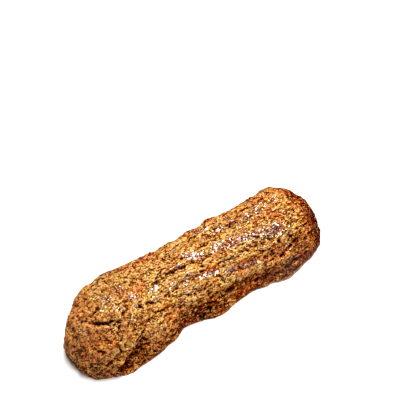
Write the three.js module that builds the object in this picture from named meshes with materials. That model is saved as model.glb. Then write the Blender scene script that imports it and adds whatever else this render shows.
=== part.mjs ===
import * as THREE from 'three';

// A finger-shaped spiced biscuit, piped through a star nozzle: a wide rounded bulb
// at the left, a narrow waist, a ribbed shaft and a rounded right end, baked flat
// on its underside. Millimetres: X runs along the biscuit with the bulb at -X, the
// near side is -Y, +Z is up, and the underside lies on z = 0.

// Main sizes of the plain form.
const LENGTH = 92;
const HEIGHT = 17.1;
const NEAR_HALF_WIDTH = 12.8;
const FAR_HALF_WIDTH = 13.5;
const SECTION_POWER = 2.4; // superellipse power: steep walls under a rounded top
const LEFT_END = { reach: 16.4, power: 2.55, lean: -2.1 };
const RIGHT_END = { reach: 14.1, power: 2.2, lean: -1.3 };

// Swellings of the two sides and the top, each a bell of the given reach along X.
const NEAR_SWELLINGS = [
  { at: -32, reach: 14, by: 2.8 },
  { at: -10, reach: 6, by: -1.2 },
  { at: 0, reach: 5, by: 1.3 },
  { at: 24, reach: 7, by: 1.8 },
  { at: 47, reach: 8, by: -1.9 },
];
const FAR_SWELLINGS = [
  { at: -46, reach: 10, by: -1.5 },
  { at: -22, reach: 9, by: 2.1 },
  { at: 15, reach: 10, by: 1.1 },
  { at: 40, reach: 8, by: 0.3 },
];
const TOP_SWELLINGS = [{ at: -33, reach: 9, by: 1.4 }];

// Places on the crust are given by x and by the turn round the section in degrees:
// 0 at the far foot, 90 at the top and 180 at the near foot. One radian of turn
// covers about this much crust on the shaft.
const CRUST_PER_RADIAN = 16;

// Grooves that the nozzle's teeth left between the ribs, along X: each wanders a little,
// and is deeper in some places than in others.
const GROOVE_FADE = 3;
const GROOVE_WANDER = { turn: 1.6, wavelength: 31, ragged: 2.2, cell: 4, seed: 61 };
const GROOVE_DEPTH = { least: 0.75, change: 0.6, cell: 7, seed: 67 };
const GROOVES = [
  { turn: 28, from: -26, to: 30, depth: 0.6, halfWidth: 1.2 },
  { turn: 44, from: -20, to: 34, depth: 0.7, halfWidth: 1.2 },
  { turn: 59, from: -16, to: 30, depth: 0.6, halfWidth: 1.2 },
  { turn: 75, from: 0, to: 34, depth: 0.5, halfWidth: 1.2 },
  { turn: 91, from: -14, to: 20, depth: 0.5, halfWidth: 1.2 },
  { turn: 106, from: -18, to: 6, depth: 0.8, halfWidth: 1.2 },
  { turn: 123, from: -26, to: 27, depth: 0.7, halfWidth: 1.2 },
  { turn: 136, from: -24, to: 18, depth: 0.5, halfWidth: 1.1 },
  { turn: 157, from: -6, to: 34, depth: 0.6, halfWidth: 1.3 },
];

// Tears and folds that run across the ribs, from one place on the crust to another.
const TEARS = [
  { from: [-40, 92], to: [-31.4, 120], depth: 1.0, halfWidth: 1.2 }, // dark mouth on the bulb
  { from: [-35.8, 171], to: [-27, 150], depth: 1.9, halfWidth: 1.6 }, // fold under the bulb
  { from: [-17.6, 82], to: [-19.2, 118], depth: 0.5, halfWidth: 1.4 }, // crease behind the bulb
  { from: [24, 146], to: [31, 140], depth: 1.1, halfWidth: 1.0 }, // short split by the right end
  { from: [-45.6, 100], to: [-45.2, 112], depth: 1.2, halfWidth: 1.1 }, // pit at the bulb's tip
  { from: [-14, 156], to: [-8, 152], depth: 0.4, halfWidth: 1.6 }, // hollows under the near rib
  { from: [-8, 151], to: [0, 149], depth: 0.7, halfWidth: 1.8 },
  { from: [0, 149], to: [11, 160], depth: 0.8, halfWidth: 1.8 },
  { from: [11, 160], to: [32, 166], depth: 0.7, halfWidth: 1.8 },
];

// Uneven swelling of the crust: cell size, height and seed of each layer of lumps.
const LUMPS = [
  { cell: 8.5, height: 0.45, seed: 11 },
  { cell: 4.2, height: 0.45, seed: 23 },
  { cell: 2.4, height: 0.4, seed: 37 },
];

// The foot: a thin uneven lip round the underside with a slight hollow above it.
const FOOT = { lip: 0.5, lipTop: 1.9, hollow: 0.35, hollowAt: 3.4, cell: 5.5, seed: 51 };

// The relief is sunk by this much, as the outline runs over its highest points.
const SUNK = 0.15;

// Mesh density.
const END_ROWS = 15;
const SHAFT_ROWS = 44;
const COLUMNS = 60;

const bell = (distance, reach) => Math.exp(-((distance / reach) ** 2));
const swell = (x, list) => list.reduce((sum, s) => sum + s.by * bell(x - s.at, s.reach), 0);
const smooth = THREE.MathUtils.smoothstep;

// A repeatable number from 0 to 1 for each corner of a cubic lattice.
function cornerValue(ix, iy, iz, seed) {
  let h = Math.imul(ix, 0x8da6b343) ^ Math.imul(iy, 0xd8163841);
  h ^= Math.imul(iz, 0xcb1ab31f) ^ Math.imul(seed, 0x9e3779b9);
  h = Math.imul(h ^ (h >>> 13), 0x5bd1e995);
  return ((h ^ (h >>> 15)) >>> 0) / 2 ** 32;
}

// Smooth noise from -1 to 1, blended between the lattice corners round a point.
function noise(point, cell, seed) {
  const place = point.clone().divideScalar(cell);
  const low = place.clone().floor();
  const share = place.sub(low);
  const ease = (t) => t * t * (3 - 2 * t);
  let sum = 0;
  for (let corner = 0; corner < 8; corner++) {
    const dx = corner & 1;
    const dy = (corner >> 1) & 1;
    const dz = corner >> 2;
    const weight = (dx ? ease(share.x) : 1 - ease(share.x))
      * (dy ? ease(share.y) : 1 - ease(share.y))
      * (dz ? ease(share.z) : 1 - ease(share.z));
    sum += weight * cornerValue(low.x + dx, low.y + dy, low.z + dz, seed);
  }
  return 2 * sum - 1;
}

// How far an end has closed in, from 0 at its tip to 1 where the shaft begins.
function endScale(distance, end) {
  const left = Math.max(0, 1 - distance / end.reach);
  return (1 - left ** end.power) ** (1 / end.power);
}

// A point of the plain form: a superellipse section, wider on one side than on the
// other, that closes in towards both tips and leans to one side there.
function plainPoint(x, turn) {
  const fromLeft = x + LENGTH / 2;
  const scale = endScale(fromLeft, LEFT_END) * endScale(LENGTH - fromLeft, RIGHT_END);
  const near = NEAR_HALF_WIDTH + swell(x, NEAR_SWELLINGS);
  const far = FAR_HALF_WIDTH + swell(x, FAR_SWELLINGS);
  const leftShare = Math.max(0, 1 - fromLeft / LEFT_END.reach);
  const rightShare = Math.max(0, 1 - (LENGTH - fromLeft) / RIGHT_END.reach);
  const lean = LEFT_END.lean * leftShare ** 2 + RIGHT_END.lean * rightShare ** 2;
  const middle = (far - near) / 2 + lean;
  const halfWidth = (far + near) / 2;
  const height = HEIGHT + swell(x, TOP_SWELLINGS);
  const across = Math.abs(Math.cos(turn) / halfWidth) ** SECTION_POWER;
  const up = Math.abs(Math.sin(turn) / height) ** SECTION_POWER;
  const radius = scale * (across + up) ** (-1 / SECTION_POWER);
  return new THREE.Vector3(x, middle + radius * Math.cos(turn), radius * Math.sin(turn));
}

// Depth of the nozzle grooves at a place on the crust, in degrees of turn.
function grooveDepth(x, turn) {
  return GROOVES.reduce((sum, groove, k) => {
    const along = new THREE.Vector3(x, 10 * k, 0);
    const phase = (2 * Math.PI * x) / GROOVE_WANDER.wavelength + 2 * k;
    const ragged = GROOVE_WANDER.ragged * noise(along, GROOVE_WANDER.cell, GROOVE_WANDER.seed);
    const line = groove.turn + GROOVE_WANDER.turn * Math.sin(phase) + ragged;
    const change = GROOVE_DEPTH.change * noise(along, GROOVE_DEPTH.cell, GROOVE_DEPTH.seed);
    const depth = groove.depth * (GROOVE_DEPTH.least + change);
    const distance = THREE.MathUtils.degToRad(turn - line) * CRUST_PER_RADIAN;
    const open = smooth(x, groove.from - GROOVE_FADE, groove.from + GROOVE_FADE);
    const shut = smooth(x, groove.to - GROOVE_FADE, groove.to + GROOVE_FADE);
    return sum + depth * open * (1 - shut) * bell(distance, groove.halfWidth);
  }, 0);
}

// Depth of the tears at a place on the crust: each is a straight trough between its ends,
// and where they meet the deepest counts.
function tearDepth(x, turn) {
  const flat = (place) => new THREE.Vector3(place[0], THREE.MathUtils.degToRad(place[1]) * CRUST_PER_RADIAN);
  const here = flat([x, turn]);
  return TEARS.reduce((deepest, tear) => {
    const line = new THREE.Line3(flat(tear.from), flat(tear.to));
    const closest = line.closestPointToPoint(here, true, new THREE.Vector3());
    return Math.max(deepest, tear.depth * bell(here.distanceTo(closest), tear.halfWidth));
  }, 0);
}

// Height of the foot's lip, or depth of the hollow over it, at a point near the underside.
function footHeight(point) {
  const ragged = 0.5 + 0.8 * noise(point, FOOT.cell, FOOT.seed);
  const lip = FOOT.lip * ragged * (1 - smooth(point.z, 0, FOOT.lipTop));
  return lip - FOOT.hollow * bell(point.z - FOOT.hollowAt, FOOT.lipTop);
}

// Height of the crust over the plain form.
function relief(point, turn) {
  const lumps = LUMPS.reduce((sum, lump) => sum + lump.height * noise(point, lump.cell, lump.seed), 0);
  const degrees = THREE.MathUtils.radToDeg(turn);
  return lumps + footHeight(point) - grooveDepth(point.x, degrees) - tearDepth(point.x, degrees) - SUNK;
}

// Places along X where the section is drawn: equal turns round each end, equal steps between.
function rowPlaces() {
  const endPlace = (row, end) => {
    const angle = (row / END_ROWS) * (Math.PI / 2);
    const size = (Math.cos(angle) ** end.power + Math.sin(angle) ** end.power) ** (-1 / end.power);
    return end.reach * (1 - size * Math.cos(angle));
  };
  const places = [];
  for (let row = 0; row < END_ROWS; row++) {
    places.push(-LENGTH / 2 + endPlace(row, LEFT_END));
  }
  const shaftStart = -LENGTH / 2 + LEFT_END.reach;
  const shaftEnd = LENGTH / 2 - RIGHT_END.reach;
  for (let row = 0; row <= SHAFT_ROWS; row++) {
    places.push(THREE.MathUtils.lerp(shaftStart, shaftEnd, row / SHAFT_ROWS));
  }
  for (let row = END_ROWS - 1; row >= 0; row--) {
    places.push(LENGTH / 2 - endPlace(row, RIGHT_END));
  }
  return places;
}

// Triangles of a closed skin: a tip at each end, arched rows between, flat underside.
function skinTriangles(lastRow) {
  const width = COLUMNS + 1;
  const corner = (row, column) => {
    if (row === 0) return 0;
    return row === lastRow ? 1 + (lastRow - 1) * width : 1 + (row - 1) * width + column;
  };
  const triangles = [];
  const add = (a, b, c) => {
    if (a !== b && b !== c && c !== a) triangles.push(a, b, c);
  };
  for (let row = 0; row < lastRow; row++) {
    for (let column = 0; column < COLUMNS; column++) {
      add(corner(row, column), corner(row, column + 1), corner(row + 1, column));
      add(corner(row, column + 1), corner(row + 1, column + 1), corner(row + 1, column));
    }
    add(corner(row, 0), corner(row + 1, 0), corner(row, COLUMNS));
    add(corner(row + 1, 0), corner(row + 1, COLUMNS), corner(row, COLUMNS));
  }
  return triangles;
}

// The biscuit's solid: the plain form first, then each point moved along its normal
// by the relief, with the underside kept flat.
function biscuitGeometry() {
  const places = rowPlaces();
  const lastRow = places.length - 1;
  const points = [];
  const turns = [];
  places.forEach((x, row) => {
    const columns = row === 0 || row === lastRow ? 0 : COLUMNS;
    for (let column = 0; column <= columns; column++) {
      const turn = columns ? (Math.PI * column) / columns : 0;
      points.push(plainPoint(x, turn));
      turns.push(turn);
    }
  });
  const geometry = new THREE.BufferGeometry().setFromPoints(points);
  geometry.setIndex(skinTriangles(lastRow));
  geometry.computeVertexNormals();
  const normals = geometry.getAttribute('normal');
  points.forEach((point, index) => {
    const direction = new THREE.Vector3().fromBufferAttribute(normals, index);
    const onFoot = point.z < 1e-6;
    if (onFoot) direction.setZ(0).normalize();
    point.addScaledVector(direction, relief(point, turns[index]));
    point.z = onFoot ? 0 : Math.max(point.z, 0.05);
  });
  geometry.setFromPoints(points);
  geometry.computeVertexNormals();
  geometry.computeBoundingBox();
  const middle = geometry.boundingBox.getCenter(new THREE.Vector3());
  geometry.translate(-middle.x, -middle.y, 0);
  return geometry;
}

const crust = new THREE.MeshStandardMaterial({ color: '#b77b44', roughness: 0.6, metalness: 0 });
const biscuit = new THREE.Mesh(biscuitGeometry(), crust);
biscuit.name = 'biscuit';

const group = new THREE.Group();
group.add(biscuit);

export default group;
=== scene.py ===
"""Looks of a finger-shaped spiced biscuit with piped ribs and a coarse browned crumb crust.

Shapes are worked out in millimetres, as the solid's are, and become metres when the mesh
is made. X runs along the biscuit with the bulb at -X, the shown side is -Y, +Z is up, and
the underside lies on z = 0.
"""
import math

import bpy
import numpy as np
from mathutils import Matrix, Vector


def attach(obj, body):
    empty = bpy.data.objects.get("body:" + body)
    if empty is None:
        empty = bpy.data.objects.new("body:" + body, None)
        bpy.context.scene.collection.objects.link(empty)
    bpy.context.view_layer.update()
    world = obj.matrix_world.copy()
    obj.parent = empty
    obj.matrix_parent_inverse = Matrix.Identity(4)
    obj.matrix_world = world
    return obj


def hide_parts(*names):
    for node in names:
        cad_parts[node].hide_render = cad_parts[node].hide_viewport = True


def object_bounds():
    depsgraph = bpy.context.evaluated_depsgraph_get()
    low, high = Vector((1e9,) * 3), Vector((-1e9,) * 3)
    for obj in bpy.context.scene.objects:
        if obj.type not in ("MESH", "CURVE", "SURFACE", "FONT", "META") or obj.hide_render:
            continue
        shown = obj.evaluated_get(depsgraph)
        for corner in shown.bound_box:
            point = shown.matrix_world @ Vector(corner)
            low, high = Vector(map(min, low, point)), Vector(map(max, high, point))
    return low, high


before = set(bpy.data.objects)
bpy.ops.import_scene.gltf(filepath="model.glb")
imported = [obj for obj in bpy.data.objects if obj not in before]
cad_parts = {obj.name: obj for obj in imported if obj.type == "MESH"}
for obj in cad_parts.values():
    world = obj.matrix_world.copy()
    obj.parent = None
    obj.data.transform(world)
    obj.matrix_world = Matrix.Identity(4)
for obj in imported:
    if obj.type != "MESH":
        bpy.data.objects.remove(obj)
cad_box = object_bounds()

MM = 0.001

# Large odd numbers that mix lattice places and seeds into repeatable noise, in words of 32 bits.
AXIS_MIXERS = (0x8DA6B343, 0xD8163841, 0xCB1AB31F)
SEED_MIXER = 0x9E3779B9
LAST_MIXER = 0x5BD1E995
WHOLE_WORD = 0xFFFFFFFF

# Main sizes of the plain form, the solid's own values.
LENGTH = 92.0
HEIGHT = 17.1
NEAR_HALF_WIDTH = 12.8
FAR_HALF_WIDTH = 13.5
SECTION_POWER = 2.4
LEFT_END = {"reach": 16.4, "power": 2.55, "lean": -2.1}
RIGHT_END = {"reach": 14.1, "power": 2.2, "lean": -1.3}
NEAR_SWELLINGS = ((-32, 14, 2.8), (-10, 6, -1.2), (0, 5, 1.3), (24, 7, 1.8), (47, 8, -1.9))
FAR_SWELLINGS = ((-46, 10, -1.5), (-22, 9, 2.1), (15, 10, 1.1), (40, 8, 0.3))
TOP_SWELLINGS = ((-33, 9, 1.4),)

# Places on the crust: x, and the turn round the section in degrees, 0 at the far foot and 180
# at the near one. One radian of turn is about CRUST_PER_RADIAN millimetres of crust.
CRUST_PER_RADIAN = 16.0
NEAR_SIDE_FROM = 90.0

# Grooves between the ribs. They wander by a wave and by noise, and noise makes their depth vary.
# Each has a phase of its own, and a line of its own through the noise, well apart from the rest.
GROOVE_FADE = 3.0
GROOVE_WANDER = {"turn": 1.6, "wavelength": 31.0, "ragged": 2.2, "cell": 4.0, "seed": 61}
GROOVE_OWN = {"phase": 2.0, "apart": 10.0}
GROOVE_BREAK = {"cell": 7.0, "by": 0.6, "whole": 0.75, "seed": 67}
# turn, from x, to x, depth, half width
GROOVES = (
    (28, -26, 30, 0.6, 1.2),
    (44, -20, 34, 0.7, 1.2),
    (59, -16, 30, 0.6, 1.2),
    (75, 0, 34, 0.5, 1.2),
    (91, -14, 20, 0.5, 1.2),
    (106, -18, 6, 0.8, 1.2),
    (123, -26, 27, 0.7, 1.2),
    (136, -24, 18, 0.5, 1.1),
    (157, -6, 34, 0.6, 1.3),
)
# Wide tears and folds: from place, to place, half width, depth
TEARS = (
    ((-40, 92), (-31.4, 120), 1.4, 0.4),
    ((-35.8, 171), (-27, 150), 1.6, 1.9),
    ((-17.6, 82), (-19.2, 118), 1.4, 0.5),
    ((24, 146), (31, 140), 1.0, 1.1),
    ((-45.6, 100), (-45.2, 112), 1.1, 1.2),
    ((-14, 156), (-8, 152), 1.6, 0.4),
    ((-8, 151), (0, 149), 1.8, 0.7),
    ((0, 149), (11, 160), 1.8, 0.8),
    ((11, 160), (32, 166), 1.8, 0.7),
)
# Narrow broken cracks: from place, to place, half width, depth
SLITS = (
    ((-40.4, 89), (-38.6, 100), 0.36, 1.5),
    ((-38.3, 104), (-35, 113), 0.42, 2.4),
    ((-35, 113), (-33, 116), 0.3, 1.4),
    ((-32.4, 117), (-31.6, 119), 0.3, 0.9),
    ((-45.6, 106), (-45.3, 112), 0.7, 1.8),
    ((-41.4, 112), (-40.8, 116), 0.4, 1.1),
    ((-41.4, 128), (-39.4, 135), 0.4, 1.3),
    ((-40.0, 156), (-38.6, 151), 0.4, 1.3),
    ((-38.2, 151), (-34.8, 148), 0.45, 1.8),
    ((-34.8, 147), (-35.2, 137), 0.35, 1.2),
    ((-42.6, 144), (-42, 148), 0.4, 1.1),
    ((-42.8, 170), (-41.4, 168), 0.5, 1.1),
    ((-17, 106.5), (-13.8, 106), 0.35, 1.4),
    ((-13.8, 106), (-10.4, 104.6), 0.28, 0.8),
    ((-10, 104.4), (-7.6, 104), 0.45, 2.0),
    ((-6.8, 104), (-5.2, 103.6), 0.42, 1.9),
    ((-3.4, 102), (-2.4, 102), 0.42, 1.4),
    ((-1.5, 105), (4, 107), 0.32, 0.8),
    ((-24, 119), (-19.5, 122), 0.40, 1.4),
    ((-8.2, 134), (-5, 136), 0.35, 1.3),
    ((-3.5, 136), (-1, 136), 0.28, 1.0),
    ((5.5, 121), (9, 122), 0.3, 0.9),
    ((11, 123), (14.5, 124), 0.35, 1.3),
    ((19, 124), (24, 124), 0.32, 0.9),
    ((-22, 134), (-17, 135), 0.28, 0.8),
    ((3.6, 89.5), (5.4, 91), 0.4, 1.3),
    ((8.0, 95), (10, 97), 0.45, 1.6),
    ((11.8, 100.5), (13.4, 101.5), 0.35, 1.2),
    ((3, 72), (14, 73), 0.28, 0.6),
    ((20, 73), (32, 74), 0.28, 0.6),
    ((14, 168), (34, 166), 0.36, 1.1),
    ((-30, 148), (-24, 136), 0.32, 0.9),
    ((-24, 60), (4, 57), 0.32, 0.8),
    ((-12, 44), (24, 46), 0.34, 1.0),
    ((-20, 26), (12, 29), 0.34, 1.0),
)
# How slits are made ragged: cell, sideways shift, seed
SLIT_RAGGED = ((1.6, 0.5, 401), (0.75, 0.35, 405))
SLIT_BREAK = {"cell": 1.25, "by": 1.4, "whole": 0.75, "seed": 411}

# Patches of crust: from place, to place, half width, strength
GLAZED = (
    ((6, 103), (10.5, 108), 1.3, 1.0),
    ((10.5, 108), (15.5, 112), 1.5, 1.0),
    ((15.5, 112), (21, 111), 1.3, 1.0),
    ((21.5, 113.5), (28.4, 119), 1.7, 1.0),
    ((-19, 110), (-16.5, 110), 0.9, 1.0),
    ((-18, 120), (-16, 121), 1.0, 1.0),
    ((-25.3, 118), (-24.3, 118), 0.8, 1.0),
    ((-25, 106), (-23.5, 107), 0.9, 0.8),
    ((-12, 119), (-8, 120), 1.1, 0.9),
    ((-6, 113), (-5, 117), 0.8, 1.0),
    ((-9, 101.5), (-6, 101.5), 0.6, 1.0),
    ((-3, 94), (2, 99), 1.3, 1.0),
    ((15.5, 80), (18, 80), 1.0, 1.0),
    ((5, 75), (8, 76), 1.0, 0.8),
    ((20, 92), (26, 86), 1.3, 1.0),
    ((26, 84), (32, 86), 1.3, 1.0),
    ((5.5, 131), (8, 135), 1.0, 1.0),
    ((11.5, 138), (17.5, 142.5), 0.8, 0.55),
    ((27, 137), (28, 137), 0.6, 0.5),
    ((32.5, 148), (33.5, 148), 0.6, 0.4),
    ((-31.5, 89), (-30.5, 97), 1.1, 1.0),
    ((-34, 97), (-33, 99), 1.1, 1.0),
    ((-30.5, 107), (-29.3, 109), 0.9, 0.9),
    ((-27, 91), (-25, 93), 1.2, 0.8),
    ((-28.4, 122), (-27.4, 124), 0.9, 0.7),
    ((9, 86), (14, 87), 0.9, 0.6),
    ((-3, 121), (2, 125), 1.0, 0.6),
    ((-9, 130), (-5, 131), 0.7, 0.6),
    ((-31, 150), (-29, 149), 0.6, 0.6),
    ((-27, 62), (-22, 58), 1.1, 0.35),
    ((-14, 53), (-8, 51), 1.0, 0.3),
    ((-6, 36), (2, 37), 1.0, 0.35),
    ((12, 36), (22, 37), 1.2, 0.35),
    ((6, 52), (11, 52), 1.0, 0.3),
)
TOASTED = (
    ((9, 134), (24, 140), 2.2, 1.0),
    ((24, 138), (34, 146), 2.0, 0.6),
    ((38, 60), (44, 120), 4.0, 0.5),
    ((-24, 62), (34, 64), 3.2, 0.9),
    ((-16, 70), (-6, 71), 2.2, 0.9),
    ((10, 63), (22, 61), 1.6, 0.7),
    ((-15, 116), (3, 122), 1.5, 0.7),
    ((-19, 88), (-16, 91), 1.0, 0.7),
    ((-12, 168), (-5, 169), 2.5, 0.8),
    ((30, 140), (40, 160), 2.6, 0.6),
    ((7, 107), (27, 115), 1.6, 0.7),
    ((2, 90), (10, 92), 0.9, 0.6),
    ((15, 122), (22, 124), 0.9, 0.6),
    ((-25, 127), (-13, 137), 1.8, 0.7),
    ((-31, 108), (-26, 118), 1.5, 0.5),
    ((25, 100), (30, 106), 2.0, 0.7),
    ((25, 143), (36, 146), 2.0, 0.5),
    ((-39, 116), (-29, 132), 2.4, 0.6),
    ((-44, 95), (-43, 140), 2.2, 0.5),
    ((20, 86), (24, 90), 1.2, 0.6),
    ((-26, 30), (10, 26), 2.6, 0.7),
)
GOLDEN = (
    ((-24, 78), (-9, 81), 2.0, 0.6),
    ((0, 96), (14, 99), 1.7, 0.9),
    ((-17, 97), (-13, 104), 1.4, 0.8),
    ((-26, 119), (-5, 123), 1.8, 1.2),
    ((-11, 121), (-2, 128), 2.4, 1.0),
    ((-18, 126), (-11, 126), 1.4, 0.8),
    ((-12, 112), (2, 112), 1.2, 1.1),
    ((8, 124), (14, 127), 1.0, 0.9),
    ((-3, 64), (4, 68), 1.8, 0.7),
    ((9, 72), (24, 74), 1.6, 0.7),
    ((30, 78), (35, 110), 2.6, 0.6),
    ((-9, 141), (8, 142), 2.0, 0.9),
    ((9, 150), (21, 157), 2.6, 0.95),
    ((-24, 152), (-19, 150), 1.8, 0.6),
    ((16, 119), (22, 118), 1.2, 0.7),
    ((17, 70), (23, 80), 2.2, 1.2),
    ((-2, 70), (3, 72), 1.6, 1.0),
    ((-10, 88), (2, 86), 1.6, 0.8),
    ((-24, 86), (-19, 87), 1.4, 0.9),
    ((10, 150), (16, 152), 1.6, 1.0),
    ((-33, 103), (-29, 110), 1.8, 0.5),
    ((-36.5, 142), (-34.5, 142), 1.2, 0.9),
    ((-30.8, 149), (-30, 146), 1.0, 0.9),
    ((-4, 116), (3, 118), 0.7, 0.6),
    ((18, 106), (23, 112), 1.2, 0.7),
)
# Painted shade: darker patches in folds, creases and hollows, on the bulb and along the right end.
SHADED = (
    ((-35, 170), (-27, 152), 2.2, 1.5),
    ((-18, 158), (3, 161), 2.0, 0.7),
    ((22, 143), (36, 146), 1.6, 0.7),
    ((24, 166), (36, 168), 2.2, 0.7),
    ((-20, 88), (-16, 90), 1.4, 0.8),
    ((10, 86), (22, 92), 1.4, 0.6),
    ((24, 98), (29, 106), 1.6, 0.5),
    ((-16, 70), (-7, 71), 1.8, 0.6),
    ((-32, 110), (-28, 114), 1.6, 0.6),
    ((40, 76), (43, 160), 2.6, 1.0),
    ((-2, 92), (6, 96), 1.0, 0.6),
    ((1, 118), (6, 121), 1.2, 0.7),
    ((10, 94), (18, 98), 1.2, 0.5),
    ((-17, 134), (-12, 142), 1.6, 0.6),
    ((-38, 112), (-27, 132), 2.0, 0.85),
    ((-3, 118), (2, 122), 1.2, 0.6),
)

# Low rises that turn glazed patches to the light: from place, to place, half width, height
RISES = (
    ((19, 124), (30, 127), 1.8, 0.7),
    ((10, 119), (18, 119), 1.2, 0.15),
    ((-34.5, 106), (-31, 108), 1.8, 0.3),
    ((5, 139), (8.5, 142), 1.5, 0.5),
    ((11.5, 145), (18, 149), 1.5, 0.5),
)
# The crest where the lit ribs end and the dark near wall begins: x, turn. Noise makes the
# wall's edge ragged, and from there the wall darkens over the two millimetre places of "edge",
# in part browner crust and in part painted shade.
CREST = (
    (-46, 140), (-36, 146), (-28, 151), (-25, 165), (-17, 166), (-12, 155), (-8, 146),
    (0, 143), (5, 147), (11, 154), (27, 158), (34, 167), (46, 172),
)
WALL = {"ragged": 1.2, "cell": 2.5, "seed": 501, "edge": (-1.5, 1.5)}

# The relief is sunk by this much, as the outline runs over its highest points.
SUNK = 0.15
# The crust stays this far over the floor, but for its foot, which stands on it.
LOWEST_CRUST = 0.03
# Noises: cell, height, seed
LUMPS = ((8.5, 0.45, 11), (4.2, 0.45, 23), (2.4, 0.4, 37))
STRANDS = ((0.95, 0.65, 171), (0.5, 0.55, 175))
CURL_ROUGHNESS = ((0.7, 0.6, 195),)
PIT_PATCHES = ((3.0, 0.5, 155),)
MOTTLES = ((4.0, 0.7, 511), (2.0, 0.5, 515))
PATCHES = ((5.0, 1.0, 521),)
# The lip round the foot, of ragged width, and the hollow over it.
FOOT = {"lip": 0.5, "lip_top": 1.9, "hollow": 0.35, "hollow_at": 3.4}
FOOT_RAGGED = {"cell": 5.5, "by": 0.8, "whole": 0.5, "seed": 51}
# Shallow pits of the underside, fading out over this share of its width at each rim.
UNDERSIDE_PITS = {"cell": 3.1, "height": 0.25, "rim": 0.12, "seed": 301}

# Crumb patterns. X is shortened by "along" first, which draws a pattern out along the ribs, and
# "warp" is the cell, shift and seed of the noise that makes it ragged. Round patterns are turned
# about a slanted axis.
PATTERN_TURN = {"by": 0.9, "axis": (1.0, 2.0, 3.0)}
STRAND = {"along": 0.16, "warp": (3.0, 0.5, 161), "on_shaft": (-26.0, -14.0), "height": 0.22}
CURL = {"warp": (2.6, 1.1, 181), "cell": 1.5, "steep": 2.0, "level": 0.6, "seed": 191}
PLATE = {"along": 0.6, "warp": (1.3, 0.4, 101), "cell": 1.5, "height": 0.12, "seed": 111}
LITTLE_PLATE = {"along": 0.7, "cell": 0.8, "height": 0.16, "seed": 121}
# Crevices add their darkness to the cavity value, which paints shade into them.
CREVICE = {
    "cell": 2.4, "open": (0.05, 0.5), "half_width": 0.08, "depth": 0.35, "darkness": 0.8, "seed": 131,
}
GRAIN = {"cell": 0.5, "height": 0.12, "seed": 141}
PIT = {"cell": 0.8, "open": (0.6, 0.95), "more_on_bulb": 0.1, "depth": 1.0, "seed": 151}
FURROW = {"warp": (3.0, 0.8, 163), "cell": 1.8, "height": 0.24, "seed": 167}
# The left half of the bulb's near side: ramps along X and across Y.
LOW_BULB = {"along": (-29.0, -36.0), "across": (3.0, -5.0)}
# How much of the crumb and of the pits glaze fills, and how much crumb is left at the foot.
GLAZE_FILLS = {"crumb": 0.6, "pits": 0.7}
FOOT_CRUMB = {"left": 0.35, "full_at": 0.8}
# Height differences that count as a full cavity and a full peak, over this many grid steps.
CAVITY_DEPTH = 0.4
PEAK_HEIGHT = 0.35
CAVITY_REACH = 4

# Ramps from 0 at the first place to 1 at the second: along X, round the section in degrees,
# over the floor, and down the crust from the crest.
ALONG = {
    "left_tip": (-35.0, -42.0),
    "bulb": (-26.0, -38.0),
    "bulb_by_waist": (-24.0, -30.0),
    "left_of_right_third": (22.0, 12.0),
    "right_of_middle": (4.0, 16.0),
    "right_of_waist": (10.0, 20.0),
    "right_half": (12.0, 24.0),
    "right_third": (20.0, 34.0),
    "right_end": (26.0, 36.0),
    "right_tip": (34.0, 40.0),
    "right_round": (34.0, 42.0),
    "right_cap": (36.0, 42.0),
    "before_right_tip": (44.0, 38.0),
}
AROUND = {"far_wall": (40.0, 20.0), "far_slope": (70.0, 60.0), "near_slope": (94.0, 128.0)}
OVER_FLOOR = {"foot": (0.9, 0.1), "low": (4.0, 1.0)}
LOW_SIDE = (-8.0, 1.5)
# The lit crest over the near wall, brightened with painted light: turn, and reach in degrees.
LIT_CREST = {"turn": 135.0, "reach": 18.0}
# What each colour value of the crust is summed from: the share of each named field. The foot
# value, painted pale light on the lip, the walls and the left tip, is the larger of two sums.
TOAST_SHARES = {
    "even": 0.3, "mottled": 0.7, "toasted": 0.5, "glaze": 0.4, "golden": -0.5, "low_side": 0.4,
    "wall": -0.3, "left_tip": 0.2, "right_tip": 0.3, "far_wall": 0.3,
}
# Besides baking, the light value carries painted light and shade: painted shade on the near wall, where
# the crust is also browner, in the grooves, in the shaded patches, on the right third, the right cap, the
# near side of the right cap and low at the right; painted light on the bulb, along the lit crest and on
# the wall's right half; and painted relief shading on the low bulb's strands.
LIGHT_SHARES = {
    "even": 0.655, "strand": 0.14, "bulb_strand": 0.12, "mottled": 0.05, "golden": 0.13,
    "toasted": -0.12, "wall": -0.24, "glaze": -0.17, "grooved": -0.14, "shaded": -0.17,
    "right_third": -0.07, "right_cap": -0.12, "low_right": -0.11, "painted_lit_wall": 0.05,
    "near_right_cap": -0.3, "bulb": 0.1, "far_slope": -0.12, "lit_crest": 0.05,
}
CONTRAST_SHARES = {
    "even": 1.24, "patchy": 0.4, "glaze": 0.4, "wall": -0.45, "golden": -0.15, "low_bulb": 0.3,
    "bulb_by_waist": -0.15, "right_end": -0.3,
}
PAINTED_LIP_SHARES = {"foot": 0.15, "right_foot": 0.6}
PAINTED_FILL_SHARES = {"left_tip": 0.04, "painted_lit_wall": 0.08}
CONTRAST_LIMITS = (0.5, 1.5)

# The colour values of the flat underside, browned evenly on the tray.
UNDERSIDE = {"glaze": 0.0, "toast": 0.6, "light": 0.52, "contrast": 0.9, "wall": 0.5, "foot": 0.0}

# How much red the crumb's colours give back, from burnt to palest, and how green and blue
# follow it in golden and in toasted crumb.
BAKED = (0.02, 0.10, 0.25, 0.46, 0.72, 1.0)
GREEN_POWER = 2.1
BLUE_POWER = 3.9
GOLDEN_CRUMB = {"green_share": 0.665, "blue_share": 0.235}
TOASTED_CRUMB = {"green_share": 0.385, "blue_share": 0.105}
# Tints that the crumb is multiplied by, rich or dusty, and two colours as seen on a screen.
RICH = (1.0, 0.97, 0.62, 1.0)
DUSTY = (1.0, 0.95, 1.07, 1.0)
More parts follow.
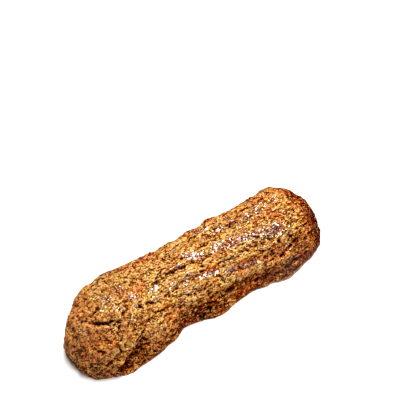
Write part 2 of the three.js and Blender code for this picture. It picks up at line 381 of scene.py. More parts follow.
# Painted pale light, mixed in at the foot lip, on the walls and at the left tip.
PAINTED_PALE_LIGHT = (186, 160, 140)
FLOOR_WHITE = (246, 246, 245)
# Flecks of colour: X is shortened by "along", and "size" is their width in millimetres.
FLECKS = {"along": 0.42, "size": 0.32}
LITTLE_FLECKS = {"along": 0.75, "size": 0.24}
# How far flecks lighten or darken the crumb, and how far they change its hue.
FLECK_SHARE = 1.05
HUE_SHARE = 0.5
# X in metres from which flecks are drawn out, and the waves that bend them, in millimetres.
DRAWN_OUT_FROM = -0.02
WAVES = {"size": 1.6, "push": 1.2}
# What a colour that is noise varies round.
NOISE_MIDDLE = (0.5, 0.5, 0.5)

# Ramps of the crust's material: from, to, and what they give at these two, where that isn't
# 0 and 1. A noise is its size in millimetres, and where it isn't plain its detail and roughness.
GATHERED ={"size": 1.1, "ramp": (0.36, 0.66, 0.55, 1.65)}
DUST = {"noise": (1.4, 3.0, 0.6), "ramp": (0.38, 0.62)}
UNGLAZED = (0.5, 0.0)
GLAZED_FROM = (0.08, 0.45)
FAINT_GLAZE = {"size": 3.0, "ramp": (0.5, 0.64, 0.0, 0.18)}
OFF_WALLS = (0.0, 0.8, 1.0, 0.1)
OFF_DARK_FLECKS = (0.25, 0.55, 0.25, 1.0)
OUT_OF_CAVITIES = (0.5, 0.2)
# How far a full peak and a full cavity lighten the crumb: painted light on crumb tips and
# painted shade in pits, crevices and hollows.
PAINTED_PEAK_LIGHT = 0.25
PAINTED_CAVITY_SHADE = -0.8
CRUMB_ROUGHNESS = 0.55
GLAZE = {"roughness": 0.14, "ior": 2.4}
FLOOR_ROUGHNESS = 0.9
# How far the crumb's grain and the flecks' slanted planes tilt the crumb, and how far these
# planes tilt the glaze over it, in millimetres.
GRAIN_TILT = {"noise": (0.35, 2.0, 0.6), "height": 0.12}
CRUMB_TILT = 0.5
GLAZE_TILT = 0.28

# Lights: name, azimuth and elevation in degrees, width in metres, watts
LIGHTS = (
    ("key", 112, 75, 0.48, 22.0),
    ("fill", 22, 68, 0.36, 4.0),
    ("low_fill", 24, 47, 0.2, 1.6),
)
# How far away the lights stand, in metres, and how bright the white room round them is.
LIGHT_DISTANCE = 1.2
ROOM_STRENGTH = 0.05

# Mesh density.
END_ROWS = 76
SHAFT_ROWS = 250
COLUMNS = 226
BASE_COLUMNS = 14
# The two tip points lie this far beyond the end rings, in millimetres.
TIP_REACH = 0.15


def bell(distance, reach):
    """exp(-(distance / reach)^2)."""
    return np.exp(-((distance / reach) ** 2))


def smooth(value, low, high):
    """0 below low, 1 above high, and the cubic 3t^2 - 2t^3 between."""
    share = np.clip((value - low) / (high - low), 0.0, 1.0)
    return share * share * (3.0 - 2.0 * share)


def corner_value(ix, iy, iz, seed):
    """A repeatable number from 0 to 1 for each corner of a cubic lattice, by integer mixing."""
    mixed = np.uint32((seed * SEED_MIXER) & WHOLE_WORD)
    for places, mixer in zip((ix, iy, iz), AXIS_MIXERS):
        mixed = mixed ^ (places.astype(np.uint32) * np.uint32(mixer))
    mixed = (mixed ^ (mixed >> np.uint32(13))) * np.uint32(LAST_MIXER)
    mixed = mixed ^ (mixed >> np.uint32(15))
    return mixed.astype(np.float64) / 2.0**32


def noise(points, cell, seed):
    """Smooth noise from -1 to 1: lattice values blended by 3t^2 - 2t^3 between the corners."""
    place = points / cell
    low = np.floor(place)
    share = place - low
    share = share * share * (3.0 - 2.0 * share)
    low = low.astype(np.int64)
    total = np.zeros(points.shape[:-1])
    for corner in range(8):
        step = np.array((corner & 1, (corner >> 1) & 1, corner >> 2))
        weight = np.prod(np.where(step == 1, share, 1.0 - share), axis=-1)
        at = low + step
        total += weight * corner_value(at[..., 0], at[..., 1], at[..., 2], seed)
    return 2.0 * total - 1.0


def neighbours(points, cell, seed):
    """Yields, for each of the 27 lattice cells round every point, the distance and the offset
    in cells to that cell's one scattered seed point, and three numbers from 0 to 1 of its own."""
    place = points / cell
    low = np.floor(place).astype(np.int64)
    for step in np.ndindex(3, 3, 3):
        at = low + np.array(step) - 1
        axes = (at[..., 0], at[..., 1], at[..., 2])
        offset = at + np.stack([corner_value(*axes, seed + k) for k in range(3)], axis=-1) - place
        own = [corner_value(*axes, seed + 3 + k) for k in range(3)]
        yield np.linalg.norm(offset, axis=-1), offset, own


def plates(points, cell, seed):
    """Cells round scattered seed points, each a small flat plate of its own slant. Returns the
    height of the plate in cells, and how near its edge is, in cells."""
    first = np.full(points.shape[:-1], np.inf)
    second = np.full(points.shape[:-1], np.inf)
    height = np.zeros(points.shape[:-1])
    for distance, offset, slants in neighbours(points, cell, seed):
        level = sum((2.0 * slants[k] - 1.0) * offset[..., k] for k in range(3))
        height = np.where(distance < first, level, height)
        second = np.minimum(second, np.maximum(first, distance))
        first = np.minimum(first, distance)
    return height, second - first


def swell(x, swellings):
    """Sum of bells along X, each of its own place, reach and height."""
    return sum(by * bell(x - at, reach) for at, reach, by in swellings)


def end_scale(distance, end):
    """How far an end has closed in: (1 - (1 - distance / reach)^p)^(1/p)."""
    left = np.maximum(0.0, 1.0 - distance / end["reach"])
    return (1.0 - left ** end["power"]) ** (1.0 / end["power"])


def row_places():
    """Equal turns round each end and equal steps along the shaft, without the two tips."""
    def end_places(end):
        """Distances from a tip at equal turns round its superellipse."""
        angle = np.arange(1, END_ROWS) / END_ROWS * (math.pi / 2)
        power = end["power"]
        size = (np.cos(angle) ** power + np.sin(angle) ** power) ** (-1.0 / power)
        return end["reach"] * (1.0 - size * np.cos(angle))
    left = -LENGTH / 2 + end_places(LEFT_END)
    right = LENGTH / 2 - end_places(RIGHT_END)[::-1]
    shaft_ends = (-LENGTH / 2 + LEFT_END["reach"], LENGTH / 2 - RIGHT_END["reach"])
    shaft = np.linspace(*shaft_ends, SHAFT_ROWS + 1)
    return np.concatenate([left, shaft, right])


def plain_form(x, turn):
    """Superellipse sections |y/a|^p + |z/b|^p = 1 in polar form, off centre as the two sides
    swell differently, that close in towards both tips."""
    from_left = x + LENGTH / 2
    scale = end_scale(from_left, LEFT_END) * end_scale(LENGTH - from_left, RIGHT_END)
    near = NEAR_HALF_WIDTH + swell(x, NEAR_SWELLINGS)
    far = FAR_HALF_WIDTH + swell(x, FAR_SWELLINGS)
    left_share = np.maximum(0.0, 1.0 - from_left / LEFT_END["reach"])
    right_share = np.maximum(0.0, 1.0 - (LENGTH - from_left) / RIGHT_END["reach"])
    lean = LEFT_END["lean"] * left_share**2 + RIGHT_END["lean"] * right_share**2
    middle = (far - near) / 2 + lean
    across = np.abs(np.cos(turn) / ((far + near) / 2)) ** SECTION_POWER
    up = np.abs(np.sin(turn) / (HEIGHT + swell(x, TOP_SWELLINGS))) ** SECTION_POWER
    radius = scale * (across + up) ** (-1.0 / SECTION_POWER)
    return np.stack([x + 0 * turn, middle + radius * np.cos(turn), radius * np.sin(turn)], axis=-1)


def groove_depth(x, degrees):
    """Bells across each groove's wandering line, that fade in and out at its two ends."""
    depth = 0.0
    for k, (turn, start, end, deep, half_width) in enumerate(GROOVES):
        along = np.stack([x, GROOVE_OWN["apart"] * k + 0 * x, 0 * x], axis=-1)
        phase = 2 * math.pi * x / GROOVE_WANDER["wavelength"] + GROOVE_OWN["phase"] * k
        line = turn + GROOVE_WANDER["turn"] * np.sin(phase)
        ragged = noise(along, GROOVE_WANDER["cell"], GROOVE_WANDER["seed"])
        line = line + GROOVE_WANDER["ragged"] * ragged
        broken = GROOVE_BREAK["by"] * noise(along, GROOVE_BREAK["cell"], GROOVE_BREAK["seed"])
        deep = deep * (GROOVE_BREAK["whole"] + broken)
        distance = np.radians(degrees - line) * CRUST_PER_RADIAN
        opened = smooth(x, start - GROOVE_FADE, start + GROOVE_FADE)
        shut = smooth(x, end - GROOVE_FADE, end + GROOVE_FADE)
        depth = depth + deep * opened * (1.0 - shut) * bell(distance, half_width)
    return depth


def layered(points, layers):
    """Sum of noises, each of its own cell, height and seed."""
    return sum(height * noise(points, cell, seed) for cell, height, seed in layers)


def foot_height(points):
    """A ragged lip that fades out upwards from the underside, with a slight hollow over it."""
    varied = FOOT_RAGGED["by"] * noise(points, FOOT_RAGGED["cell"], FOOT_RAGGED["seed"])
    ragged = FOOT_RAGGED["whole"] + varied
    lip = FOOT["lip"] * ragged * (1.0 - smooth(points[..., 2], 0.0, FOOT["lip_top"]))
    return lip - FOOT["hollow"] * bell(points[..., 2] - FOOT["hollow_at"], FOOT["lip_top"])


def turned(points):
    """The points turned about a slanted axis, so that no pattern lines up with the biscuit."""
    return points @ np.array(Matrix.Rotation(PATTERN_TURN["by"], 3, Vector(PATTERN_TURN["axis"])))


def warped(points, cell, by, seed):
    """The points pushed about by smooth noise, which makes straight patterns ragged."""
    pushes = [noise(points, cell, seed + k) for k in range(3)]
    return points + by * np.stack(pushes, axis=-1)


def along_lines(x, degrees, lines):
    """Largest of the bells of the distance to each line on the unrolled crust; a line is its
    two ends, each x and turn, its half width and its strength."""
    here = np.stack([x, np.radians(degrees) * CRUST_PER_RADIAN], axis=-1)
    most = 0.0
    for start, end, half_width, strength in lines:
        a = np.array((start[0], math.radians(start[1]) * CRUST_PER_RADIAN))
        b = np.array((end[0], math.radians(end[1]) * CRUST_PER_RADIAN))
        share = np.clip(((here - a) @ (b - a)) / ((b - a) @ (b - a)), 0.0, 1.0)
        distance = np.linalg.norm(here - a - share[..., None] * (b - a), axis=-1)
        most = np.maximum(most, strength * bell(distance, half_width))
    return most


def slit_depth(points, x, degrees):
    """Narrow bells across the slits' lines, made ragged and broken up by noise."""
    bent = degrees + np.degrees(layered(points, SLIT_RAGGED) / CRUST_PER_RADIAN)
    gaps = SLIT_BREAK["by"] * noise(points, SLIT_BREAK["cell"], SLIT_BREAK["seed"])
    broken = np.clip(SLIT_BREAK["whole"] + gaps, 0.0, 1.0)
    return along_lines(x, bent, SLITS) * broken


def strand_pattern(points):
    """From -1 to 1: long thin strands drawn out along X on the shaft, curls |n| on the bulb."""
    drawn_out = warped(points, *STRAND["warp"]) * (STRAND["along"], 1.0, 1.0)
    strands = layered(drawn_out, STRANDS)
    curled = warped(points, *CURL["warp"])
    curls = CURL["steep"] * np.abs(noise(curled, CURL["cell"], CURL["seed"])) - CURL["level"]
    curls = curls + layered(curled, CURL_ROUGHNESS)
    on_shaft = smooth(points[..., 0], *STRAND["on_shaft"])
    return np.clip(strands * on_shaft + curls * (1.0 - on_shaft), -1.0, 1.0)


def on_low_bulb(points):
    """1 on the left half of the bulb's near side, fading out over its top and towards the waist."""
    return smooth(points[..., 0], *LOW_BULB["along"]) * smooth(points[..., 1], *LOW_BULB["across"])


def fine_relief(points, strand):
    """Crumb: slanted plates of two sizes with crevices at some of their edges, raised strands,
    furrows on the low bulb, a rough grain, and ragged pits where a smooth noise is highest.
    Returns its height, and how far its pits and crevices are open."""
    drawn_out = warped(turned(points * (PLATE["along"], 1.0, 1.0)), *PLATE["warp"])
    coarse, coarse_edge = plates(drawn_out, PLATE["cell"], PLATE["seed"])
    little_place = turned(points * (LITTLE_PLATE["along"], 1.0, 1.0))
    little, _ = plates(little_place, LITTLE_PLATE["cell"], LITTLE_PLATE["seed"])
    opened = smooth(noise(drawn_out, CREVICE["cell"], CREVICE["seed"]), *CREVICE["open"])
    crevices = CREVICE["depth"] * opened * bell(coarse_edge, CREVICE["half_width"])
    grain = GRAIN["height"] * noise(turned(points), GRAIN["cell"], GRAIN["seed"])
    low_bulb = on_low_bulb(points)
    pitted = noise(drawn_out, PIT["cell"], PIT["seed"]) + layered(points, PIT_PATCHES)
    pits = PIT["depth"] * smooth(pitted + PIT["more_on_bulb"] * low_bulb, *PIT["open"])
    furrowed = noise(warped(points, *FURROW["warp"]), FURROW["cell"], FURROW["seed"])
    relief = PLATE["height"] * coarse + LITTLE_PLATE["height"] * little + STRAND["height"] * strand
    relief = relief + FURROW["height"] * low_bulb * furrowed + grain - crevices - pits
    return relief, pits + CREVICE["darkness"] * crevices


def grid_normals(grid):
    """Outward unit normals from the differences round and along the grid, level at the foot."""
    along = np.gradient(grid, axis=0)
    round_it = np.gradient(grid, axis=1)
    normals = np.cross(round_it, along)
    normals[:, [0, -1], 2] = 0.0
    return normals / np.linalg.norm(normals, axis=-1, keepdims=True)


def crust_heights(plain, x, degrees, crust):
    """How far the crust rises from the plain form: lumps, foot lip and low rises, less grooves
    and tears, plus the crumb that glaze fills and the tray wears off, less slits. Returns the
    heights, and how far the pits and slits are open."""
    broad = layered(plain, LUMPS) + foot_height(plain) - crust["grooved"]
    broad = broad - along_lines(x, degrees, TEARS) + along_lines(x, degrees, RISES)
    fine, pits = fine_relief(plain, crust["strand"])
    slits = slit_depth(plain, x, degrees)
    fine = fine * (1.0 - GLAZE_FILLS["crumb"] * crust["glaze"]) - slits
    pits = pits * (1.0 - GLAZE_FILLS["pits"] * crust["glaze"]) + slits
    off_the_tray = smooth(plain[..., 2], 0.0, FOOT_CRUMB["full_at"])
    fine = fine * (FOOT_CRUMB["left"] + (1.0 - FOOT_CRUMB["left"]) * off_the_tray)
    return broad + fine, pits


def crust_fields(plain, x, degrees, crust):
    """The named fields that the colour values are summed from: ramps and patches from 0 to 1,
    noises from -1 to 1, and products of these."""
    down = np.radians(degrees - np.interp(x, *np.array(CREST).T)) * CRUST_PER_RADIAN
    ragged = WALL["ragged"] * noise(plain, WALL["cell"], WALL["seed"])
    near = degrees > NEAR_SIDE_FROM
    at = dict(crust)
    at["even"] = 1.0
    at["low_side"] = smooth(down, *LOW_SIDE)
    for values, ramps in ((x, ALONG), (degrees, AROUND), (plain[..., 2], OVER_FLOOR)):
        at.update({name: smooth(values, *ends) for name, ends in ramps.items()})
    at["golden"] = along_lines(x, degrees, GOLDEN)
    at["toasted"] = along_lines(x, degrees, TOASTED)
    at["shaded"] = along_lines(x, degrees, SHADED)
    at["mottled"] = layered(plain, MOTTLES)
    at["patchy"] = layered(plain, PATCHES)
    at["wall"] = smooth(down + ragged, *WALL["edge"])
    # Painted fill light on the wall's right half.
    at["painted_lit_wall"] = at["wall"] * at["right_half"] * at["before_right_tip"]
    # Painted light along the lit crest.
    at["lit_crest"] = bell(degrees - LIT_CREST["turn"], LIT_CREST["reach"]) * at["left_of_right_third"]
    at["low_bulb"] = on_low_bulb(plain)
    # Painted relief shading: the low bulb's strands lighten and darken the crumb more.
    at["bulb_strand"] = at["low_bulb"] * at["strand"]
    # Painted shadow at the right end: on the near side of the right cap, and low on the near side right of
    # the middle.
    at["near_right_cap"] = at["right_round"] * at["near_slope"]
    at["low_right"] = at["low"] * at["right_of_middle"] * near
    # Painted light on the foot lip, strongest on the near side right of the waist.
    at["right_foot"] = at["foot"] * at["right_of_waist"] * near
    return at


def weighed(fields, shares):
    """Sum of the named fields, each times its share."""
    return sum(share * fields[name] for name, share in shares.items())


def colour_values(fields):
    """What the crust's material reads at each point: how glazed, toasted and light it is, the light
    holding painted light and shade too, how strong its flecks are, and how much it is wall and
    painted pale light at the foot."""
    return {
        "glaze": fields["glaze"],
        "toast": np.clip(weighed(fields, TOAST_SHARES), 0.0, 1.0),
        "light": weighed(fields, LIGHT_SHARES),
        "contrast": np.clip(weighed(fields, CONTRAST_SHARES), *CONTRAST_LIMITS),
        "wall": np.maximum(fields["wall"], fields["far_wall"]),
        "foot": np.maximum(weighed(fields, PAINTED_LIP_SHARES), weighed(fields, PAINTED_FILL_SHARES)),
    }


def biscuit_surface():
    """The plain form on a grid of rows along X and turns round the section, moved along its
    normals by the crust's heights. Returns the grid's points, those heights, how far pits are
    open, and the colour values."""
    rows = row_places()[:, None]
    turn = np.linspace(0.0, math.pi, COLUMNS + 1)[None, :]
    plain = plain_form(rows, turn)
    x = rows + 0 * turn
    degrees = np.degrees(turn) + 0 * rows
    crust = {
        "strand": strand_pattern(plain),
        "grooved": groove_depth(x, degrees),
        "glaze": along_lines(x, degrees, GLAZED),
    }
    heights, pits = crust_heights(plain, x, degrees, crust)
    points = plain + (heights - SUNK)[..., None] * grid_normals(plain)
    points[..., 2] = np.maximum(points[..., 2], LOWEST_CRUST)
    points[:, [0, -1], 2] = 0.0
    return points, heights, pits, colour_values(crust_fields(plain, x, degrees, crust))


def base_points(crust):
    """Straight lines from the near foot back to the far foot, raised a little by shallow pits
    that fade out towards the rim."""
    share = (np.arange(1, BASE_COLUMNS) / BASE_COLUMNS)[None, :, None]
    base = crust[:, -1:, :] * (1.0 - share) + crust[:, :1, :] * share
    pitted = noise(base, UNDERSIDE_PITS["cell"], UNDERSIDE_PITS["seed"])
    hollow = UNDERSIDE_PITS["height"] * np.maximum(0.0, pitted)
    from_rim = np.minimum(share[..., 0], 1.0 - share[..., 0])
    base[..., 2] = hollow * smooth(from_rim, 0.0, UNDERSIDE_PITS["rim"])
    return base


def ring_faces(rows, ring):
    """Quads between neighbouring rings and triangles from the end rings to the two tips."""
    column = np.arange(ring)
    after = (column + 1) % ring
    start = (np.arange(rows - 1) * ring)[:, None]
    quads = np.stack([start + column, start + after, start + ring + after, start + ring + column], axis=-1)
    left_tip = rows * ring
    right_tip = left_tip + 1
    last = (rows - 1) * ring
    left = np.stack([np.full(ring, left_tip), after, column], axis=-1)
    right = np.stack([last + column, last + after, np.full(ring, right_tip)], axis=-1)
    return quads.reshape(-1, 4).tolist() + left.tolist() + right.tolist()


def local_mean(values, reach):
    """Box mean over the grid, 2 x reach + 1 wide each way, by running sums."""
    for axis in (0, 1):
        widths = [(reach + 1, reach) if a == axis else (0, 0) for a in (0, 1)]
        sums = np.cumsum(np.pad(values, widths, mode="edge"), axis=axis)
        upper = np.take(sums, range(2 * reach + 1, sums.shape[axis]), axis=axis)
        lower = np.take(sums, range(0, sums.shape[axis] - 2 * reach - 1), axis=axis)
        values = (upper - lower) / (2 * reach + 1)
    return values


def add_values(mesh, name, values):
    """Stores one number for each mesh point under a name that the materials read."""
    attribute = mesh.attributes.new(name, "FLOAT", "POINT")
    attribute.data.foreach_set("value", np.ascontiguousarray(values, dtype=np.float32))


def make_biscuit():
    """The whole biscuit as one closed surface with its colour values."""
    crust, height, pits, colours = biscuit_surface()
    rings = np.concatenate([crust, base_points(crust)], axis=1)
    rows, ring = rings.shape[:2]
    left_tip = [rings[0, :, 0].min() - TIP_REACH, rings[0, :, 1].mean(), 0.0]
    right_tip = [rings[-1, :, 0].max() + TIP_REACH, rings[-1, :, 1].mean(), 0.0]
    points = np.concatenate([rings.reshape(-1, 3), np.array([left_tip, right_tip])])
    low, high = (np.array(corner) / MM for corner in cad_box)
    middle = (points.min(axis=0) + points.max(axis=0)) / 2
    points[:, :2] += ((low + high) / 2 - middle)[:2]
    mesh = bpy.data.meshes.new("biscuit_crust")
    mesh.from_pydata((points * MM).tolist(), [], ring_faces(rows, ring))
    mesh.shade_smooth()

    def spread(values, base_value):
        """The crust's values, then one value for the underside and the two tips."""
        base = np.full((rows, BASE_COLUMNS - 1), base_value)
        whole = np.concatenate([values, base], axis=1)
        return np.concatenate([whole.ravel(), [base_value, base_value]])
    # Hollows and crumb tips, where painted shade and painted light go.
    around = local_mean(height, CAVITY_REACH)
    cavity = np.clip((around - height) / CAVITY_DEPTH, 0.0, 1.0)
    peak = np.clip((height - around) / PEAK_HEIGHT, 0.0, 1.0)
    add_values(mesh, "cavity", spread(np.maximum(cavity, np.clip(pits, 0.0, 1.0)), 0.0))
    add_values(mesh, "peak", spread(peak, 0.0))
    for name, values in colours.items():
        add_values(mesh, name, spread(values, UNDERSIDE[name]))
    piece = bpy.data.objects.new("biscuit_crust", mesh)
    bpy.context.collection.objects.link(piece)
    return piece


def srgb(red, green, blue):
    """A colour as seen on a screen, 0 to 255, as the linear values that shaders use."""
    def linear(value):
        """One channel by the screen's own curve."""
        share = value / 255
        return share / 12.92 if share <= 0.04045 else ((share + 0.055) / 1.055) ** 2.4
    return (linear(red), linear(green), linear(blue), 1.0)


class Shader:
    """A material's node tree, with short calls for the nodes that these materials use."""

    def __init__(self, name):
        """A new material with its one surface node and the object's own coordinates."""
        self.material = bpy.data.materials.new(name)
        self.material.use_nodes = True
        self.nodes = self.material.node_tree.nodes
        self.links = self.material.node_tree.links
        self.surface = next(n for n in self.nodes if n.type == "BSDF_PRINCIPLED")
        self.place = self.nodes.new("ShaderNodeTexCoord").outputs["Object"]

    def feed(self, socket, value):
        """Links a socket to another's output, or sets it to a plain value."""
        if isinstance(value, bpy.types.NodeSocket):
            self.links.new(value, socket)
        else:
            socket.default_value = value

    def value(self, name):
        """A number that the mesh stores at each point."""
        node = self.nodes.new("ShaderNodeAttribute")
        node.attribute_name = name
        return node.outputs["Fac"]

    def noise(self, size_mm, detail=2.0, roughness=0.5):
        """Smooth noise from 0 to 1 in object coordinates."""
        node = self.nodes.new("ShaderNodeTexNoise")
        self.links.new(self.place, node.inputs["Vector"])
        node.inputs["Scale"].default_value = 1.0 / (size_mm * MM)
        node.inputs["Detail"].default_value = detail
        node.inputs["Roughness"].default_value = roughness
        return node.outputs["Fac"]

    def ramp(self, value, low, high, to_low=0.0, to_high=1.0):
        """From to_low below low to to_high above high, smoothly between."""
        node = self.nodes.new("ShaderNodeMapRange")
        node.interpolation_type = "SMOOTHSTEP"
        self.feed(node.inputs["Value"], value)
        node.inputs["From Min"].default_value = low
        node.inputs["From Max"].default_value = high
        node.inputs["To Min"].default_value = to_low
        node.inputs["To Max"].default_value = to_high
        return node.outputs["Result"]

    def math(self, operation, a, b):
        """The result of one operation on two sockets or plain numbers."""
        node = self.nodes.new("ShaderNodeMath")
        node.operation = operation
        self.feed(node.inputs[0], a)
        self.feed(node.inputs[1], b)
        return node.outputs["Value"]

    def mix(self, share, a, b, blend="MIX"):
        """Colour a blended towards b by a share from 0 to 1."""
        node = self.nodes.new("ShaderNodeMix")
        node.data_type = "RGBA"
        node.blend_type = blend
        self.feed(node.inputs["Factor"], share)
        colour_a, colour_b = [socket for socket in node.inputs if socket.type == "RGBA"]
        self.feed(colour_a, a)
        self.feed(colour_b, b)
        return next(socket for socket in node.outputs if socket.type == "RGBA")

    def drawn_out(self, along):
        """Object coordinates with X shortened by a factor on the shaft and kept on the bulb, pushed
        about by smooth noise, so that cells on them are long and ragged along the ribs."""
        axes = self.nodes.new("ShaderNodeSeparateXYZ")
        self.links.new(self.place, axes.inputs["Vector"])
        on_bulb = self.math("MINIMUM", self.math("ADD", axes.outputs["X"], -DRAWN_OUT_FROM), 0.0)
        on_bulb = self.math("MULTIPLY", on_bulb, 1.0 - along)
        shortened = self.math("MULTIPLY", axes.outputs["X"], along)
        both = self.nodes.new("ShaderNodeCombineXYZ")
        self.feed(both.inputs["X"], self.math("ADD", shortened, on_bulb))
        self.feed(both.inputs["Y"], axes.outputs["Y"])
        self.feed(both.inputs["Z"], axes.outputs["Z"])
        waves = self.nodes.new("ShaderNodeTexNoise")
        waves.inputs["Scale"].default_value = 1.0 / (WAVES["size"] * MM)
        self.links.new(self.place, waves.inputs["Vector"])
        push = self.vector("SUBTRACT", waves.outputs["Color"], NOISE_MIDDLE).outputs["Vector"]
        push = self.vector("MULTIPLY", push, (WAVES["push"] * MM,) * 3).outputs["Vector"]
        return self.vector("ADD", both.outputs["Vector"], push).outputs["Vector"]

    def facets(self, pattern):
        """Two random numbers for each cell of a drawn-out cell pattern, and the height in cells
        of a slanted plane of the cell's own."""
        place = self.drawn_out(pattern["along"])
        per_cell = 1.0 / (pattern["size"] * MM)
        cells = self.nodes.new("ShaderNodeTexVoronoi")
        cells.inputs["Scale"].default_value = per_cell
        self.links.new(place, cells.inputs["Vector"])
        slant = self.vector("SUBTRACT", cells.outputs["Color"], NOISE_MIDDLE)
        offset = self.vector("SUBTRACT", place, cells.outputs["Position"])
        plane = self.vector("DOT_PRODUCT", slant.outputs["Vector"], offset.outputs["Vector"])
        level = self.math("MULTIPLY", plane.outputs["Value"], per_cell)
        split = self.nodes.new("ShaderNodeSeparateColor")
        self.links.new(cells.outputs["Color"], split.inputs["Color"])
        return split.outputs["Red"], split.outputs["Green"], level

    def colours(self, value, stops):
        """A colour for each value from 0 to 1, blended between evenly spaced stops."""
        node = self.nodes.new("ShaderNodeValToRGB")
        self.feed(node.inputs["Fac"], value)
        elements = node.color_ramp.elements
        elements[0].color, elements[1].color = stops[0], stops[-1]
        for k, colour in enumerate(stops[1:-1], 1):
            elements.new(k / (len(stops) - 1)).color = colour
        return node.outputs["Color"]

    def total(self, *terms):
        """Sum of sockets, each times its own number."""
        total = 0.0
        for socket, share in terms:
            total = self.math("ADD", total, self.math("MULTIPLY", socket, share))
        return total

    def vector(self, operation, a, b):
        """The node of one operation on two vectors."""
        node = self.nodes.new("ShaderNodeVectorMath")
        node.operation = operation
        self.feed(node.inputs[0], a)
        self.feed(node.inputs[1], b)
        return node

    def bump(self, height, distance_mm, normal=None):
        """A normal tilted as though a height of 1 rose by this many millimetres."""
        node = self.nodes.new("ShaderNodeBump")
        node.inputs["Strength"].default_value = 1.0
        node.inputs["Distance"].default_value = distance_mm * MM
        self.links.new(height, node.inputs["Height"])
        if normal is not None:
            self.links.new(normal, node.inputs["Normal"])
        return node.outputs["Normal"]


def crumb(red, green_share, blue_share):
    """Crumb colour for one depth of baking, in linear values: green and blue fall off faster
    than red, each as its share times a power of red."""
    return (red, green_share * red**GREEN_POWER, blue_share * red**BLUE_POWER, 1.0)


def crust_material():
    """Crumb in drawn-out flecks from burnt to pale gold, redder where toasted, dark with painted shade
    in pits and, with browner crust, on the walls, with painted light on crumb peaks and pale
    painted light at the foot, and small glints where it is glazed."""
    s = Shader("baked_crumb_crust")
    luck, hue_luck, tilt = s.facets(FLECKS)
    little_luck, _, _ = s.facets(LITTLE_FLECKS)

    flecks = s.total((luck, FLECK_SHARE), (little_luck, FLECK_SHARE))
    flecks = s.math("SUBTRACT", flecks, FLECK_SHARE)
    flecks = s.math("MULTIPLY", flecks, s.value("contrast"))
    gathered = s.ramp(s.noise(GATHERED["size"]), *GATHERED["ramp"])
    flecks = s.math("MULTIPLY", flecks, gathered)
    # Painted light on crumb peaks and painted shade in pits, crevices and hollows.
    relief = s.total((s.value("peak"), PAINTED_PEAK_LIGHT), (s.value("cavity"), PAINTED_CAVITY_SHADE))
    light = s.total((s.value("light"), 1.0), (flecks, 1.0), (relief, 1.0))

    toast = s.total((s.value("toast"), 1.0), (hue_luck, HUE_SHARE))
    toast = s.math("SUBTRACT", toast, HUE_SHARE / 2)
    golden = s.colours(light, [crumb(red, **GOLDEN_CRUMB) for red in BAKED])
    toasted = s.colours(light, [crumb(red, **TOASTED_CRUMB) for red in BAKED])
    tone = s.mix(toast, golden, toasted)
    unglazed = s.ramp(s.value("glaze"), *UNGLAZED)
    dust = s.math("MULTIPLY", s.ramp(s.noise(*DUST["noise"]), *DUST["ramp"]), unglazed)
    tone = s.mix(1.0, tone, s.mix(dust, RICH, DUSTY), "MULTIPLY")
    # Painted pale light at the foot lip, on the walls and at the left tip.
    tone = s.mix(s.value("foot"), tone, srgb(*PAINTED_PALE_LIGHT))
    s.feed(s.surface.inputs["Base Color"], tone)
    s.surface.inputs["Roughness"].default_value = CRUMB_ROUGHNESS
    s.surface.inputs["Specular IOR Level"].default_value = 0.0

    glazed = s.ramp(s.value("glaze"), *GLAZED_FROM)
    faint = s.ramp(s.noise(FAINT_GLAZE["size"]), *FAINT_GLAZE["ramp"])
    shiny = s.math("MAXIMUM", glazed, faint)
    shiny = s.math("MULTIPLY", shiny, s.ramp(s.value("wall"), *OFF_WALLS))
    shiny = s.math("MULTIPLY", shiny, s.ramp(little_luck, *OFF_DARK_FLECKS))
    shiny = s.math("MULTIPLY", shiny, s.ramp(s.value("cavity"), *OUT_OF_CAVITIES))
    s.feed(s.surface.inputs["Coat Weight"], shiny)
    s.surface.inputs["Coat Roughness"].default_value = GLAZE["roughness"]
    s.surface.inputs["Coat IOR"].default_value = GLAZE["ior"]

    grain = s.bump(s.noise(*GRAIN_TILT["noise"]), GRAIN_TILT["height"])
    s.feed(s.surface.inputs["Normal"], s.bump(tilt, CRUMB_TILT, grain))
    s.feed(s.surface.inputs["Coat Normal"], s.bump(tilt, GLAZE_TILT))
    return s.material


def floor_material():
    """Plain near-white matt floor."""
    s = Shader("pale_floor")
    s.surface.inputs["Base Color"].default_value = srgb(*FLOOR_WHITE)
    s.surface.inputs["Roughness"].default_value = FLOOR_ROUGHNESS
    return s.material


def make_floor():
    """A wide flat square just under the biscuit."""
    half_width = 1.5
    level = -0.00005
    mesh = bpy.data.meshes.new("floor")
    corners = [(x * half_width, y * half_width, level) for x, y in ((-1, -1), (1, -1), (1, 1), (-1, 1))]
    mesh.from_pydata(corners, [], [(0, 1, 2, 3)])
    mesh.materials.append(floor_material())
    floor = bpy.data.objects.new("floor", mesh)
    bpy.context.collection.objects.link(floor)


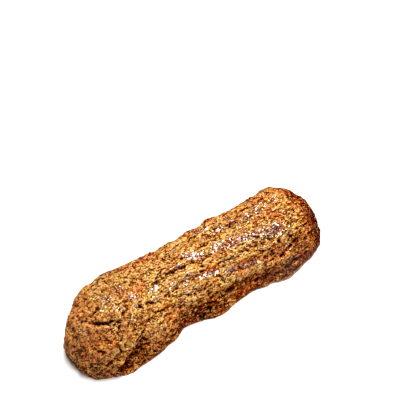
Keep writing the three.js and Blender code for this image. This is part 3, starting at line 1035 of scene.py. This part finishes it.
def direction(azimuth, elevation):
    """Unit vector to a place seen at these angles in degrees; azimuth 0 is -Y, 90 is +X."""
    a = math.radians(azimuth)
    e = math.radians(elevation)
    return Vector((math.sin(a) * math.cos(e), -math.cos(a) * math.cos(e), math.sin(e)))


def make_camera():
    """The photograph's view: the camera looks at the biscuit's middle, rolled a little, then
    turns so that the biscuit sits low and left in the frame."""
    azimuth, elevation, roll = -28.94, 47.28, -7.45
    pan, tilt = 0.66, 3.43
    distance = 0.340
    focal_length_mm, sensor_width_mm = 95.2, 36.0
    target = Vector((0.0, 0.0, 0.006))
    back = direction(azimuth, elevation)
    right = Vector((math.cos(math.radians(azimuth)), math.sin(math.radians(azimuth)), 0.0))
    up = back.cross(right)
    turn = Matrix((right, up, back)).transposed()
    turn = turn @ Matrix.Rotation(math.radians(roll), 3, "Z")
    turn = turn @ Matrix.Rotation(math.radians(tilt), 3, "X") @ Matrix.Rotation(math.radians(-pan), 3, "Y")
    data = bpy.data.cameras.new("camera")
    data.lens = focal_length_mm
    data.sensor_width = sensor_width_mm
    data.clip_start = 0.01
    camera = bpy.data.objects.new("camera", data)
    camera.matrix_world = Matrix.Translation(target + back * distance) @ turn.to_4x4()
    bpy.context.collection.objects.link(camera)
    bpy.context.scene.camera = camera


def soft_box(name, azimuth, elevation, width, watts):
    """A square studio light aimed at the biscuit."""
    data = bpy.data.lights.new(name, "AREA")
    data.shape = "SQUARE"
    data.size = width
    data.energy = watts
    light = bpy.data.objects.new(name, data)
    light.location = direction(azimuth, elevation) * LIGHT_DISTANCE
    light.rotation_euler = light.location.to_track_quat("Z", "Y").to_euler()
    bpy.context.collection.objects.link(light)


def make_lights():
    """A broad key high on the right, two weak fills in front, a dim even white room."""
    for light in LIGHTS:
        soft_box(*light)
    world = bpy.data.worlds.new("room")
    world.use_nodes = True
    background = world.node_tree.nodes["Background"]
    background.inputs["Color"].default_value = (1.0, 1.0, 1.0, 1.0)
    background.inputs["Strength"].default_value = ROOM_STRENGTH
    bpy.context.scene.world = world
    bpy.context.scene.view_settings.view_transform = "Standard"


biscuit = make_biscuit()
biscuit.data.materials.append(crust_material())
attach(biscuit, "root")
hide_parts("biscuit")
make_floor()
make_camera()
make_lights()
